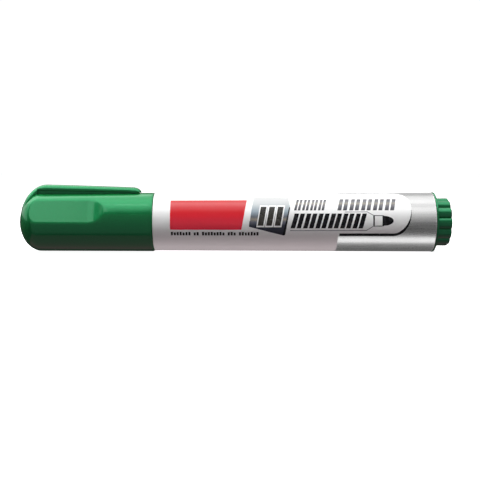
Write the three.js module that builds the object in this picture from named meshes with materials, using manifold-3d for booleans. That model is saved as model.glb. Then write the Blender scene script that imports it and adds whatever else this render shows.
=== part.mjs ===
// A capped whiteboard marker lying on its side, in millimetres.
// The marker's axis runs along X: the cap's closed end points to -X, the rear plug to +X and the pocket
// clip to +Z. The origin is on the surface that the marker lies on, below the middle of its length.
// "Station" is the distance along the axis from the cap's closed end, and profiles are [radius, station].
import * as THREE from "three";
import { mergeVertices } from "three/addons/utils/BufferGeometryUtils.js";
import Module from "manifold-3d";

const wasm = await Module();
wasm.setup();

// Driving dimensions
const LENGTH = 136;
const CAP_LENGTH = 42.7;
const CAP_RIM_RADIUS = 9.32;
const CAP_TIP_RADIUS = 9.2; // the cap's draft leaves its closed end a little thinner
const DOME_LENGTH = 6.7;
const BARREL_FRONT_RADIUS = 8.96; // the barrel tapers towards the cap, whose rim stands proud of it
const BARREL_RADIUS = 9.33; // at the plug
const BARREL_WALL = 1.28;
const FLANGE_RADIUS = 9.5; // the widest piece, which the marker lies on
const CLIP_WIDTH = 4.4;
const CLIP_HEIGHT = 11.95; // from the axis to the clip's outer face, where the clip leaves the dome
const FLAT_DISTANCE = 8.29; // from the axis to each finger flat
const FLAT_ELEVATION = 27; // degrees above the horizontal, on both sides of the cap
const NIB_RADIUS = 2.4;
const FILLER_RADIUS = 6.95;
const KNOB_RADIUS = 7.6;
const KNOB_LOBES = 12;

// Clearances between pieces that touch on the real marker
const RUNNING_GAP = 0.1;
const SEAT_GAP = 0.12;

// Stations worked out from them
const CAP_SEAT_END = CAP_LENGTH + SEAT_GAP;
const KNOB_LENGTH = 4.6;
const FLANGE_THICKNESS = 0.6;
const FLANGE_START = LENGTH - KNOB_LENGTH - FLANGE_THICKNESS;
const BARREL_END = FLANGE_START - RUNNING_GAP;
const BORE_RADIUS = BARREL_RADIUS - BARREL_WALL;

const ROUND = 48; // facets round a turned piece
const FINE_ROUND = 12; // facets round the breather tube
const HALF_TURN = Math.PI;

// A flat of the 48-sided flange lies on the surface, so the axis is one apothem above it.
const AXIS_HEIGHT = FLANGE_RADIUS * Math.cos(HALF_TURN / ROUND);

const greenPlastic = new THREE.MeshStandardMaterial({ color: 0x0a8f45, roughness: 0.22, metalness: 0 });
const whitePlastic = new THREE.MeshStandardMaterial({ color: 0xf2f2f0, roughness: 0.35, metalness: 0 });
const naturalPlastic = new THREE.MeshStandardMaterial({ color: 0xe4e6e2, roughness: 0.5, metalness: 0 });
const labelFilm = new THREE.MeshStandardMaterial({ color: 0xf4f4f4, roughness: 0.25, metalness: 0 });
const inkedFibre = new THREE.MeshStandardMaterial({ color: 0x0b5a35, roughness: 0.95, metalness: 0 });
const clearFilm = new THREE.MeshStandardMaterial({ color: 0xdfe6e4, roughness: 0.3, metalness: 0 });

const radians = THREE.MathUtils.degToRad;

// Profile points along part of an ellipse. 0 degrees points away from the axis, 90 along it.
function ellipse(radius, station, acrossAxis, alongAxis, from, to, steps) {
  const points = [];
  for (let i = 0; i <= steps; i++) {
    const angle = radians(from + ((to - from) * i) / steps);
    points.push([radius + acrossAxis * Math.cos(angle), station + alongAxis * Math.sin(angle)]);
  }
  points.forEach((p) => {
    if (Math.abs(p[0]) < 1e-9) p[0] = 0;
  });
  return points;
}

// A profile turned about the marker's axis, with a flat facing down. A profile runs along the outside
// towards +X and back along the inside, and starts and ends on the axis or closes on itself.
function turned(profile, facets = ROUND) {
  const points = profile.map(([radius, station]) => new THREE.Vector2(radius, station));
  if (profile[0][0] > 0) points.push(points[0].clone());
  return new THREE.LatheGeometry(points, facets, HALF_TURN / facets).rotateZ(-HALF_TURN / 2);
}

function rod(radius, start, end, facets) {
  return turned([[0, start], [radius, start], [radius, end], [0, end]], facets);
}

function tube(inner, outer, start, end, facets) {
  return turned([[inner, start], [outer, start], [outer, end], [inner, end]], facets);
}

// A side view, drawn as station against height above the axis, given a width across the marker.
function slab(outline, width) {
  const options = { depth: width, bevelEnabled: false, curveSegments: 8 };
  return new THREE.ExtrudeGeometry(outline, options).translate(0, 0, -width / 2);
}

function solid(geometry) {
  const bare = geometry.index ? geometry.toNonIndexed() : geometry.clone();
  bare.deleteAttribute("normal");
  bare.deleteAttribute("uv");
  const merged = mergeVertices(bare, 1e-4);
  const corners = merged.index.array;
  const kept = [];
  for (let i = 0; i < corners.length; i += 3) {
    const [a, b, c] = corners.slice(i, i + 3);
    if (a !== b && b !== c && c !== a) kept.push(a, b, c);
  }
  const triVerts = new Uint32Array(kept);
  const vertProperties = new Float32Array(merged.attributes.position.array);
  return new wasm.Manifold(new wasm.Mesh({ numProp: 3, vertProperties, triVerts }));
}

function geometryOf(body) {
  const { vertProperties, triVerts } = body.getMesh();
  const geometry = new THREE.BufferGeometry();
  geometry.setAttribute("position", new THREE.BufferAttribute(vertProperties, 3));
  geometry.setIndex(new THREE.BufferAttribute(triVerts, 1));
  geometry.computeVertexNormals();
  return geometry;
}

function piece(name, geometry, material) {
  const mesh = new THREE.Mesh(geometry, material);
  mesh.name = name;
  return mesh;
}

// Cap: a domed shell with two finger flats, a moulded pocket clip on a shoulder, and a grip rib under it

const CAP_MOUTH_RADIUS = 8.5;
const CAP_BORE_RADIUS = 7.2; // narrower past the seat, so that the wall stays thick under the flats
const CAP_STEP = [27.2, 28.6]; // stations where the bore widens into the mouth
const SEAL_BEAD = { radius: 6.95, start: 7.5, end: 8 }; // holds the inner seal's flange
const INNER_DOME = { start: 1.5, length: 4.5 };

function capBody() {
  const rimRound = 0.25;
  const bead = SEAL_BEAD;
  const beadRamp = CAP_BORE_RADIUS - bead.radius;
  return turned([
    ...ellipse(0, DOME_LENGTH, CAP_TIP_RADIUS, DOME_LENGTH, -90, 0, 9),
    ...ellipse(CAP_RIM_RADIUS - rimRound, CAP_LENGTH - rimRound, rimRound, rimRound, 0, 90, 2),
    [CAP_MOUTH_RADIUS + 0.2, CAP_LENGTH],
    [CAP_MOUTH_RADIUS, CAP_LENGTH - 0.4],
    [CAP_MOUTH_RADIUS, CAP_STEP[1]],
    [CAP_BORE_RADIUS, CAP_STEP[0]],
    [CAP_BORE_RADIUS, bead.end + beadRamp],
    [bead.radius, bead.end],
    [bead.radius, bead.start],
    [CAP_BORE_RADIUS, bead.start - beadRamp],
    ...ellipse(0, INNER_DOME.start + INNER_DOME.length, CAP_BORE_RADIUS, INNER_DOME.length, 0, -90, 5),
  ]);
}

const CLIP_ROOT_END = 5.8; // where the gap under the clip starts
const CLIP_CREST = 8.6; // where the clip's curved back straightens
const CLIP_UNDERSIDE = [10.2, 9.62]; // its height at the root and near the tip
const CLIP_TIP = { start: 35.9, end: 38.5, height: 11.08, foot: 9.4 };
const CLIP_FOOT_START = 35.4;
const SHOULDER = { halfWidth: 7.5, taperStart: 2, taperWidth: 5 };
const GRIP_RIB = { width: 2.4, start: CLIP_ROOT_END - 0.5, end: 35.9, endTop: 9.3, base: 8.9, gap: 0.15 };

function clip() {
  const tip = CLIP_TIP;
  const [high, low] = CLIP_UNDERSIDE;
  const nose = [tip.end - tip.start, tip.height - tip.foot];
  const outline = new THREE.Shape();
  outline.moveTo(0.7, 3.6);
  outline.lineTo(3, 7.5);
  outline.lineTo(CLIP_ROOT_END, 8.6);
  outline.lineTo(CLIP_ROOT_END, high - 0.3);
  outline.lineTo(CLIP_ROOT_END + 0.3, high);
  outline.lineTo(CLIP_FOOT_START, low);
  outline.lineTo(CLIP_FOOT_START + 0.5, tip.foot);
  outline.lineTo(tip.end - 0.3, tip.foot);
  outline.absellipse(tip.start, tip.foot, ...nose, radians(8), radians(90));
  outline.lineTo(CLIP_CREST, CLIP_HEIGHT);
  outline.absellipse(CLIP_CREST, 0, CLIP_CREST, CLIP_HEIGHT, radians(90), radians(159));
  return slab(outline, CLIP_WIDTH).rotateX(HALF_TURN / 2);
}

// The egg-shaped shoulder that carries the dome up into the clip's root and narrows to the clip's width.
function clipShoulder() {
  const egg = new THREE.SphereGeometry(1, ROUND, ROUND / 2);
  egg.scale(CLIP_CREST, SHOULDER.halfWidth, CLIP_HEIGHT).translate(CLIP_CREST, 0, 0);
  const coreRadius = CAP_TIP_RADIUS - 1;
  const core = turned([
    ...ellipse(0, DOME_LENGTH, coreRadius, DOME_LENGTH - 0.8, -90, 0, 9),
    [coreRadius, 2 * CLIP_CREST + 1],
    [0, 2 * CLIP_CREST + 1],
  ]);
  const outside = new THREE.Shape();
  outside.moveTo(SHOULDER.taperStart, SHOULDER.halfWidth);
  outside.lineTo(SHOULDER.taperStart, SHOULDER.taperWidth);
  outside.lineTo(CLIP_ROOT_END, CLIP_WIDTH / 2);
  outside.lineTo(CLIP_ROOT_END, -CLIP_WIDTH);
  outside.lineTo(2 * CLIP_CREST + 1, -CLIP_WIDTH);
  outside.lineTo(2 * CLIP_CREST + 1, SHOULDER.halfWidth);
  const trim = slab(outside, 2 * CLIP_HEIGHT + 2);
  const below = CLIP_HEIGHT + 3;
  const lowerHalf = new THREE.BoxGeometry(4 * CLIP_CREST, 4 * CLIP_CREST, below);
  lowerHalf.translate(CLIP_CREST, 0, 1 - below / 2);
  return solid(egg)
    .subtract(solid(core))
    .subtract(solid(trim))
    .subtract(solid(trim.clone().rotateX(HALF_TURN)))
    .subtract(solid(lowerHalf));
}

// The rib on the cap that a pocket's cloth is gripped against, just under the clip.
function gripRib() {
  const rib = GRIP_RIB;
  const [high, low] = CLIP_UNDERSIDE;
  const outline = new THREE.Shape();
  outline.moveTo(rib.start, rib.base);
  outline.lineTo(rib.end, rib.base);
  outline.lineTo(rib.end, rib.endTop);
  outline.lineTo(CLIP_FOOT_START - 0.1, low - rib.gap);
  outline.lineTo(rib.start, high - rib.gap);
  return slab(outline, rib.width).rotateX(HALF_TURN / 2);
}

const FLAT_END = 22.3; // where each finger flat starts to run out
const RUNOUT_RADIUS = 15; // of the hollow curve that brings it up to the cap's round side

function flatCutter(elevation) {
  const start = -1;
  const rise = 24; // degrees of the run-out's arc, which ends clear of the cap
  const outline = new THREE.Shape();
  outline.moveTo(start, FLAT_DISTANCE);
  outline.absarc(FLAT_END, FLAT_DISTANCE + RUNOUT_RADIUS, RUNOUT_RADIUS, radians(-90), radians(rise - 90));
  outline.lineTo(start, outline.currentPoint.y);
  return slab(outline, 2 * CAP_RIM_RADIUS).rotateX(radians(elevation));
}

function cap() {
  const body = solid(capBody())
    .subtract(solid(flatCutter(FLAT_ELEVATION)))
    .subtract(solid(flatCutter(180 - FLAT_ELEVATION)))
    .add(clipShoulder())
    .add(solid(gripRib()))
    .add(solid(clip()));
  return piece("cap_shell", geometryOf(body), greenPlastic);
}

// Inner seal: a soft cup that closes over the nib holder's neck, held in the cap by its flange

const NECK_RADIUS = 3.6;
const HOLDER_FACE = 19.6;
const SEAL_FLANGE_RADIUS = CAP_BORE_RADIUS - RUNNING_GAP;

function innerSeal() {
  const inside = NECK_RADIUS + RUNNING_GAP;
  const outside = inside + 1;
  const back = 6.2;
  const floor = back + 1.4;
  const lip = HOLDER_FACE + 4.2;
  return piece("inner_seal", turned([
    [0, back],
    [SEAL_FLANGE_RADIUS, back],
    [SEAL_FLANGE_RADIUS, back + 1],
    [outside + 0.4, back + 1],
    [outside, back + 1.4],
    [outside, lip - 0.3],
    [outside - 0.2, lip],
    [inside + 0.3, lip],
    [inside, lip - 0.5],
    [inside, floor + 0.6],
    [inside - 0.6, floor],
    [0, floor],
  ]), naturalPlastic);
}

// Barrel: one tube with a front shoulder, a snap bead on the cap's seat, a sleeve that grips the nib
// holder and inner ribs that centre the ink filler

const SEAT_RADIUS = 8.38;
const SEAT_BEAD_RADIUS = 8.44;
const SEAT_START = 33.4;
const FRONT_FACE = 29.5;
const FRONT_BORE_RADIUS = 4.4;

const SLEEVE = { radius: 5.6, root: 32.2, end: 37 };
const RIBS = { count: 6, width: 0.9, inner: 7.3, start: 45.2, end: 110 };

function barrelBody() {
  return turned([
    [FRONT_BORE_RADIUS, FRONT_FACE],
    [5.6, FRONT_FACE],
    ...ellipse(5.6, SEAT_START, SEAT_RADIUS - 5.6, SEAT_START - FRONT_FACE - 0.5, -70, 0, 4),
    [SEAT_RADIUS, 39.4],
    [SEAT_BEAD_RADIUS, 39.9],
    [SEAT_BEAD_RADIUS, 40.5],
    [SEAT_RADIUS, 41],
    [SEAT_RADIUS, CAP_SEAT_END],
    [BARREL_FRONT_RADIUS, CAP_SEAT_END],
    [BARREL_RADIUS, BARREL_END],
    [BORE_RADIUS + 0.2, BARREL_END],
    [BORE_RADIUS, BARREL_END - 0.4],
    [BORE_RADIUS, 46],
    [RIBS.inner, 44.8],
    [RIBS.inner, SLEEVE.root + 1.5],
    [6.2, SLEEVE.root],
    [SLEEVE.radius, SLEEVE.root],
    [SLEEVE.radius, SLEEVE.end],
    [FRONT_BORE_RADIUS, SLEEVE.end],
  ]);
}

function barrel() {
  const height = BORE_RADIUS + 0.4 - RIBS.inner;
  const rib = new THREE.BoxGeometry(RIBS.end - RIBS.start, RIBS.width, height);
  rib.translate((RIBS.start + RIBS.end) / 2, 0, RIBS.inner + height / 2);
  let body = solid(barrelBody());
  for (let i = 0; i < RIBS.count; i++) {
    body = body.add(solid(rib.clone().rotateX((2 * HALF_TURN * i) / RIBS.count)));
  }
  return piece("barrel_tube", geometryOf(body), whitePlastic);
}

// The printed film follows the barrel's taper and stops just short of both its ends.
function label() {
  const start = CAP_SEAT_END + 0.05;
  const end = BARREL_END - 0.05;
  const under = 0.04;
  const over = 0.12;
  return piece("label_sleeve", turned([
    [BARREL_FRONT_RADIUS + under, start],
    [BARREL_FRONT_RADIUS + over, start],
    [BARREL_RADIUS + over, end],
    [BARREL_RADIUS + under, end],
  ]), labelFilm);
}

// Nib holder: pressed into the barrel's front bore, with the neck that the seal closes on

function nibHolder() {
  const bore = NIB_RADIUS + RUNNING_GAP;
  const spigot = FRONT_BORE_RADIUS - RUNNING_GAP;
  const collar = 5.3;
  const end = SLEEVE.end + 1.6;
  return piece("nib_holder", turned([
    [bore, HOLDER_FACE],
    [NECK_RADIUS - 0.4, HOLDER_FACE],
    [NECK_RADIUS, HOLDER_FACE + 0.4],
    [NECK_RADIUS, HOLDER_FACE + 5.2],
    [collar, 27.6],
    [collar, FRONT_FACE - RUNNING_GAP],
    [spigot, FRONT_FACE - RUNNING_GAP],
    [spigot, end - 0.6],
    [spigot - 0.5, end],
    [bore, end],
  ]), naturalPlastic);
}

const NIB = { tip: 13, shoulder: 17.2, tail: 54 };

function nib() {
  const bullet = NIB.shoulder - NIB.tip;
  return piece("nib", turned([
    ...ellipse(0, NIB.shoulder, NIB_RADIUS, bullet, -90, 0, 6),
    [NIB_RADIUS, NIB.tail],
    [0, NIB.tail],
  ]), inkedFibre);
}

// Ink filler: a fibre rod in a film wrap, with a breather tube run through it

const FILLER = { start: 46.5, end: 112 };
const BREATHER = { radius: 0.75, bore: 0.45, height: 4.8, end: 113.2 };

function inkFiller() {
  const past = 1; // how far each cutter runs past the rod's ends
  const socket = rod(NIB_RADIUS + RUNNING_GAP, FILLER.start - past, NIB.tail + RUNNING_GAP);
  const hole = rod(BREATHER.radius + RUNNING_GAP, FILLER.start - past, FILLER.end + past, FINE_ROUND);
  const body = solid(rod(FILLER_RADIUS, FILLER.start, FILLER.end))
    .subtract(solid(socket))
    .subtract(solid(hole.translate(0, 0, BREATHER.height)));
  return piece("ink_filler", geometryOf(body), inkedFibre);
}

function fillerWrap() {
  return piece("filler_wrap", tube(7.02, 7.14, FILLER.start, FILLER.end + 0.4), clearFilm);
}

function breatherTube() {
  const shape = tube(BREATHER.bore, BREATHER.radius, FILLER.start, BREATHER.end, FINE_ROUND);
  const mesh = piece("breather_tube", shape, clearFilm);
  mesh.position.z = BREATHER.height;
  return mesh;
}

// Rear plug: a hollow ribbed stem, a thin flange and a lobed knob to pull it by

// The knob's outline is a ring of equal arcs, whose crossings leave a groove between lobes.
function lobedOutline() {
  const arcRadius = 2.2;
  const centre = KNOB_RADIUS - arcRadius;
  const pitch = (2 * HALF_TURN) / KNOB_LOBES;
  const half = pitch / 2 + Math.asin((centre * Math.sin(pitch / 2)) / arcRadius);
  const outline = new THREE.Shape();
  for (let i = 0; i < KNOB_LOBES; i++) {
    const way = i * pitch;
    outline.absarc(centre * Math.cos(way), centre * Math.sin(way), arcRadius, way - half, way + half);
  }
  return outline;
}

function knob() {
  const edge = 0.5;
  const overlap = 0.2;
  const options = { depth: KNOB_LENGTH + overlap - 2 * edge, curveSegments: 4, bevelSegments: 2 };
  Object.assign(options, { bevelSize: edge, bevelThickness: edge, bevelOffset: -edge });
  return new THREE.ExtrudeGeometry(lobedOutline(), options)
    .rotateY(HALF_TURN / 2)
    .translate(LENGTH - KNOB_LENGTH - overlap + edge, 0, 0);
}

const KNOB_BORE = 5.6; // of the hollow that runs up from the stem
const STEM = { start: 121.5, radius: BORE_RADIUS - 0.15, bore: 6.6, ribRadius: BORE_RADIUS - 0.05 };

function rearPlug() {
  const hollowEnd = LENGTH - 1.6;
  const rib = (station) => [
    [STEM.radius, station - 0.4],
    [STEM.ribRadius, station],
    [STEM.ribRadius, station + 0.3],
    [STEM.radius, station + 0.7],
  ];
  const flangeRound = 0.2;
  const flangeEnd = FLANGE_START + FLANGE_THICKNESS;
  const core = turned([
    [STEM.bore, STEM.start],
    [STEM.radius - 0.4, STEM.start],
    [STEM.radius, STEM.start + 0.6],
    ...rib(124.2),
    ...rib(127.6),
    [STEM.radius, FLANGE_START],
    [FLANGE_RADIUS, FLANGE_START],
    [FLANGE_RADIUS, flangeEnd - flangeRound],
    [FLANGE_RADIUS - flangeRound, flangeEnd],
    [6.2, flangeEnd],
    [6.2, LENGTH - 0.8],
    [0, LENGTH - 0.8],
    [0, hollowEnd],
    [KNOB_BORE, hollowEnd],
    [KNOB_BORE, FLANGE_START],
  ]);
  const hollow = rod(KNOB_BORE, FLANGE_START, hollowEnd);
  const body = solid(core).add(solid(knob()).subtract(solid(hollow)));
  return piece("rear_plug", geometryOf(body), greenPlastic);
}

const marker = new THREE.Group();
marker.name = "whiteboard_marker";
marker.position.set(-LENGTH / 2, 0, AXIS_HEIGHT);
marker.add(cap(), innerSeal(), barrel(), label(), nibHolder(), nib());
marker.add(inkFiller(), fillerWrap(), breatherTube(), rearPlug());

export default marker;
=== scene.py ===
"""A capped green whiteboard marker lying on its side, with its printed film, inner parts and rear plug.

Lengths are in millimetres and angles in degrees until they are turned into Blender's metres. A station is
the distance along the marker from the cap's closed end. An angle round the marker is 0 at the front, 90 at
the top, where the pocket clip is, and 180 at the back.
"""
import math

import bmesh
import bpy
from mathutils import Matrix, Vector


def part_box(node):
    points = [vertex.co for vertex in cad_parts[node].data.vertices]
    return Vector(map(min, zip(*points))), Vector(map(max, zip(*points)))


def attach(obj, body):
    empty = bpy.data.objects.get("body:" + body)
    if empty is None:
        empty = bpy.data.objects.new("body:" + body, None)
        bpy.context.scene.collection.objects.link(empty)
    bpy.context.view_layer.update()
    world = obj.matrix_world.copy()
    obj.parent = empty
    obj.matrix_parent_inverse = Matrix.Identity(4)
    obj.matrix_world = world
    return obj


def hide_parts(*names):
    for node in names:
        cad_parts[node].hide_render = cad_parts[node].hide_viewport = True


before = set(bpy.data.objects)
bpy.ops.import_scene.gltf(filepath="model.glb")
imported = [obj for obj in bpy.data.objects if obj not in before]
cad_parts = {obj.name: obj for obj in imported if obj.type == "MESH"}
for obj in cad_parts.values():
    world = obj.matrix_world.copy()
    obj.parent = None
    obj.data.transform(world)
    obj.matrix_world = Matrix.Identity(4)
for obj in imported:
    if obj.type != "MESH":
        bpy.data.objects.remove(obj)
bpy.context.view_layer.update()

MM = 0.001

# Places from the frame
cap_low, cap_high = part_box("cap_shell")
barrel_low, barrel_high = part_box("barrel_tube")
label_low, label_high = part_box("label_sleeve")
plug_low, plug_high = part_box("rear_plug")
seal_low, seal_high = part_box("inner_seal")
holder_low, holder_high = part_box("nib_holder")
nib_low, nib_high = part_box("nib")
filler_low, filler_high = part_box("ink_filler")
wrap_low, wrap_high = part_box("filler_wrap")
breather_low, breather_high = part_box("breather_tube")

START_X = cap_low[0]
AXIS_Z = (barrel_low[2] + barrel_high[2]) / 2


def station(x):
    """The station of an x in the frame's metres."""
    return (x - START_X) / MM


def radius_of(low, high):
    """The radius in millimetres of a node with these corners, from its width across the marker."""
    return (high[1] - low[1]) / 2 / MM


SKIN = 0.02  # how far some surfaces are kept inside their node's box

CENTRE = station((cap_low[0] + plug_high[0]) / 2)
CAP_END = station(cap_high[0])
CAP_RADIUS = radius_of(cap_low, cap_high)
CLIP_HEIGHT = (cap_high[2] - AXIS_Z) / MM
BARREL_START = station(barrel_low[0])
BARREL_END = station(barrel_high[0])
BARREL_RADIUS = radius_of(barrel_low, barrel_high)
TAPER = 0.37  # how much thinner the barrel is at the cap than at the plug
LABEL_START = station(label_low[0])
LABEL_END = station(label_high[0])
LABEL_RADIUS = radius_of(label_low, label_high) - SKIN
PLUG_START = station(plug_low[0])
PLUG_END = station(plug_high[0])
PLUG_RADIUS = radius_of(plug_low, plug_high)

ROUND = 192  # vertices round a turned piece


def point(across, along, angle=0.0, off_axis=0.0):
    """The Blender position at a radius, station and angle. off_axis lifts the axis that it turns about."""
    turn = math.radians(angle)
    y = -across * math.cos(turn)
    z = across * math.sin(turn) + off_axis
    return (START_X + along * MM, y * MM, AXIS_Z + z * MM)


# Making meshes


def finish_mesh(bm, name, sharp=35.0):
    """Turns the bmesh into an object with its faces outwards, smooth except at edges over sharp degrees."""
    bmesh.ops.recalc_face_normals(bm, faces=bm.faces)
    mesh = bpy.data.meshes.new(name)
    bm.to_mesh(mesh)
    bm.free()
    mesh.shade_smooth()
    mesh.set_sharp_from_angle(angle=math.radians(sharp))
    obj = bpy.data.objects.new(name, mesh)
    bpy.context.scene.collection.objects.link(obj)
    return obj


# Groups for the lights that reach only some of the pieces
green_pieces = bpy.data.collections.new("green_pieces")
pale_pieces = bpy.data.collections.new("pale_pieces")
foil_pieces = bpy.data.collections.new("foil_pieces")


def place(obj, body, slot, material, replaces=()):
    """Gives a piece its material and body, hides the CAD nodes that it stands for, and groups it for the
    lights by its slot.
    """
    obj.data.materials.clear()
    obj.data.materials.append(material)
    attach(obj, body)
    if replaces:
        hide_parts(*replaces)
    group = green_pieces if slot in ("cap_plastic", "plug_plastic") else pale_pieces
    group.objects.link(obj)
    if slot == "label_foil":
        foil_pieces.objects.link(obj)


def softened(corners, closed=False, steps=4):
    """A profile with rounded corners. Each corner is (radius, station) or (radius, station, rounding)."""
    points = []
    count = len(corners)
    for i, corner in enumerate(corners):
        here = Vector(corner[:2])
        rounding = corner[2] if len(corner) > 2 else 0.0
        if rounding == 0.0 or (not closed and i in (0, count - 1)):
            points.append(tuple(here))
            continue
        before = Vector(corners[i - 1][:2]) - here
        after = Vector(corners[(i + 1) % count][:2]) - here
        reach = min(rounding, 0.45 * before.length, 0.45 * after.length)
        first = here + before.normalized() * reach
        last = here + after.normalized() * reach
        for k in range(steps + 1):
            t = k / steps
            points.append(tuple(first * (1 - t) ** 2 + here * 2 * t * (1 - t) + last * t * t))
    return points


def turned(name, profile, around=ROUND, shape=None, off_axis=0.0, closed=False, sharp=35.0):
    """A profile of (radius, station) turned about the axis.

    shape(radius, station, angle) may change a radius.
    """
    bm = bmesh.new()
    rings = []
    for across, along in profile:
        if across < 1e-6:
            rings.append([bm.verts.new(point(0, along, 0, off_axis))])
            continue
        ring = []
        for i in range(around):
            angle = 360 * i / around
            reach = shape(across, along, angle) if shape else across
            ring.append(bm.verts.new(point(reach, along, angle, off_axis)))
        rings.append(ring)
    if closed:
        rings.append(rings[0])
    for one, other in zip(rings, rings[1:]):
        for i in range(around):
            j = (i + 1) % around
            near = [one[i % len(one)], one[j % len(one)]]
            far = [other[j % len(other)], other[i % len(other)]]
            bm.faces.new(list(dict.fromkeys(near + far)))
    return finish_mesh(bm, name, sharp)


def arc(across, along, wide, long, start, end, steps):
    """Profile points on part of an ellipse. 0 degrees points away from the axis and 90 towards the plug."""
    points = []
    for k in range(steps + 1):
        turn = math.radians(start + (end - start) * k / steps)
        points.append((max(0.0, across + wide * math.cos(turn)), along + long * math.sin(turn)))
    if abs(points[0][0]) < 1e-6:
        points[0] = (0.0, points[0][1])
    return points


def run(start, end, step):
    """Stations from start up to end, evenly spaced at about step, without the end."""
    count = max(1, round((end - start) / step))
    return [start + (end - start) * i / count for i in range(count)]


# Node materials


class Nodes:
    """A short way to write a material's nodes."""

    def __init__(self, name):
        self.material = bpy.data.materials.new(name)
        self.material.use_nodes = True
        self.tree = self.material.node_tree
        self.tree.nodes.clear()
        self.shader = self.add("ShaderNodeBsdfPrincipled")
        output = self.add("ShaderNodeOutputMaterial")
        self.link(self.shader.outputs["BSDF"], output.inputs["Surface"])
        self.place = self.add("ShaderNodeTexCoord").outputs["Object"]

    def add(self, kind, **settings):
        node = self.tree.nodes.new(kind)
        for key, value in settings.items():
            setattr(node, key, value)
        return node

    def link(self, output, socket):
        self.tree.links.new(output, socket)

    def set(self, **values):
        """Sets the shader's own sockets, by short names."""
        names = {
            "metal": "Metallic", "ior": "IOR", "coat": "Coat Weight", "coat_rough": "Coat Roughness",
            "subsurface": "Subsurface Weight", "radius": "Subsurface Radius", "depth": "Subsurface Scale",
            "specular": "Specular IOR Level", "tint": "Specular Tint", "sheen": "Sheen Weight",
            "see_through": "Transmission Weight",
        }
        for key, value in values.items():
            self.shader.inputs[names[key]].default_value = value

    def math(self, kind, one, other=0.0, third=0.0):
        node = self.add("ShaderNodeMath", operation=kind)
        for socket, value in zip(node.inputs, (one, other, third)):
            if isinstance(value, (int, float)):
                socket.default_value = value
            else:
                self.link(value, socket)
        return node.outputs[0]

    def noise(self, size, detail=3.0, stretch=(1, 1, 1), rough=0.5):
        """Noise whose features are about size millimetres across, stretched along the axes."""
        mapping = self.add("ShaderNodeMapping")
        mapping.inputs["Scale"].default_value = [1 / (size * MM * s) for s in stretch]
        self.link(self.place, mapping.inputs["Vector"])
        node = self.add("ShaderNodeTexNoise")
        node.inputs["Scale"].default_value = 1.0
        node.inputs["Detail"].default_value = detail
        node.inputs["Roughness"].default_value = rough
        self.link(mapping.outputs[0], node.inputs["Vector"])
        return node.outputs[0]

    def between(self, value, low, high, start=0.3, end=0.7):
        """Maps a value that goes from start to end onto low to high."""
        node = self.add("ShaderNodeMapRange")
        self.link(value, node.inputs["Value"])
        for name, number in (("From Min", start), ("From Max", end), ("To Min", low), ("To Max", high)):
            node.inputs[name].default_value = number
        return node.outputs[0]

    def ramp(self, value, stops):
        """A colour from a value, by stops of (place, colour)."""
        node = self.add("ShaderNodeValToRGB")
        while len(node.color_ramp.elements) < len(stops):
            node.color_ramp.elements.new(0.5)
        for element, (where, colour) in zip(node.color_ramp.elements, stops):
            element.position = where
            element.color = (*colour, 1)
        self.link(value, node.inputs[0])
        return node.outputs[0]

    def colour(self, source):
        self.link(source, self.shader.inputs["Base Color"])

    def roughness(self, source):
        self.link(source, self.shader.inputs["Roughness"])

    def bump(self, height, distance):
        node = self.add("ShaderNodeBump")
        node.inputs["Distance"].default_value = distance * MM
        node.inputs["Strength"].default_value = 1.0
        self.link(height, node.inputs["Height"])
        self.link(node.outputs[0], self.shader.inputs["Normal"])


def mixed(one, other, share):
    return tuple(a + (b - a) * share for a, b in zip(one, other))


def moulded(name, colour, rough, grain=0.0006, shade=0.12, **settings):
    """Moulded plastic: slightly uneven colour, a faint ripple, hairline scuffs and patches of wear."""
    nodes = Nodes(name)
    patches = nodes.noise(7.0, 4)
    nodes.colour(nodes.ramp(patches, [(0.3, mixed(colour, (0, 0, 0), shade)), (0.7, colour)]))
    scuffs = nodes.noise(0.35, 2, stretch=(14, 1, 1))
    handled = nodes.between(patches, rough * 0.92, rough * 1.04)
    scratched = nodes.between(scuffs, 0.0, 0.03, 0.62, 0.75)
    nodes.roughness(nodes.math("ADD", handled, scratched))
    nodes.bump(nodes.noise(1.6, 2), grain)
    nodes.set(ior=1.5, radius=(1.0, 1.0, 1.0), depth=1.5 * MM)
    nodes.set(**settings)
    return nodes.material


# Polished coloured plastic: a clear skin that reflects white, over pigment that tints what it reflects
GREEN = {"specular": 1.0, "tint": (0.05, 1.0, 0.42, 1), "ior": 2.0, "coat": 1.0, "coat_rough": 0.12}
cap_green = moulded("cap_green", (0.012, 0.265, 0.060), 0.30, **GREEN)
plug_green = moulded("plug_green", (0.010, 0.180, 0.052), 0.30, grain=0.001, **GREEN)
barrel_white = moulded("barrel_white", (0.86, 0.86, 0.85), 0.25, shade=0.03, subsurface=0.2)
holder_white = moulded("holder_white", (0.82, 0.83, 0.80), 0.38, shade=0.05, subsurface=0.2)
seal_natural = moulded("seal_natural", (0.78, 0.80, 0.76), 0.45, shade=0.05, subsurface=0.3)
film_white = moulded("film_white", (0.90, 0.90, 0.90), 0.16, grain=0.0004, shade=0.02)


def fibre(name, dark, light, across):
    """Bundled fibre: fine lengthwise strands, damp with ink in patches."""
    nodes = Nodes(name)
    strands = nodes.noise(across, 3, stretch=(30, 1, 1), rough=0.65)
    damp = nodes.noise(1.8, 3)
    both = nodes.math("MULTIPLY_ADD", strands, 0.7, nodes.math("MULTIPLY", damp, 0.3))
    nodes.colour(nodes.ramp(both, [(0.35, dark), (0.65, light)]))
    nodes.roughness(nodes.between(damp, 0.45, 0.85))
    nodes.bump(strands, 0.06)
    nodes.set(sheen=0.15)
    return nodes.material


nib_fibre = fibre("nib_fibre", (0.002, 0.030, 0.012), (0.010, 0.130, 0.050), 0.12)
filler_fibre = fibre("filler_fibre", (0.006, 0.09, 0.04), (0.03, 0.26, 0.13), 0.2)


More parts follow.
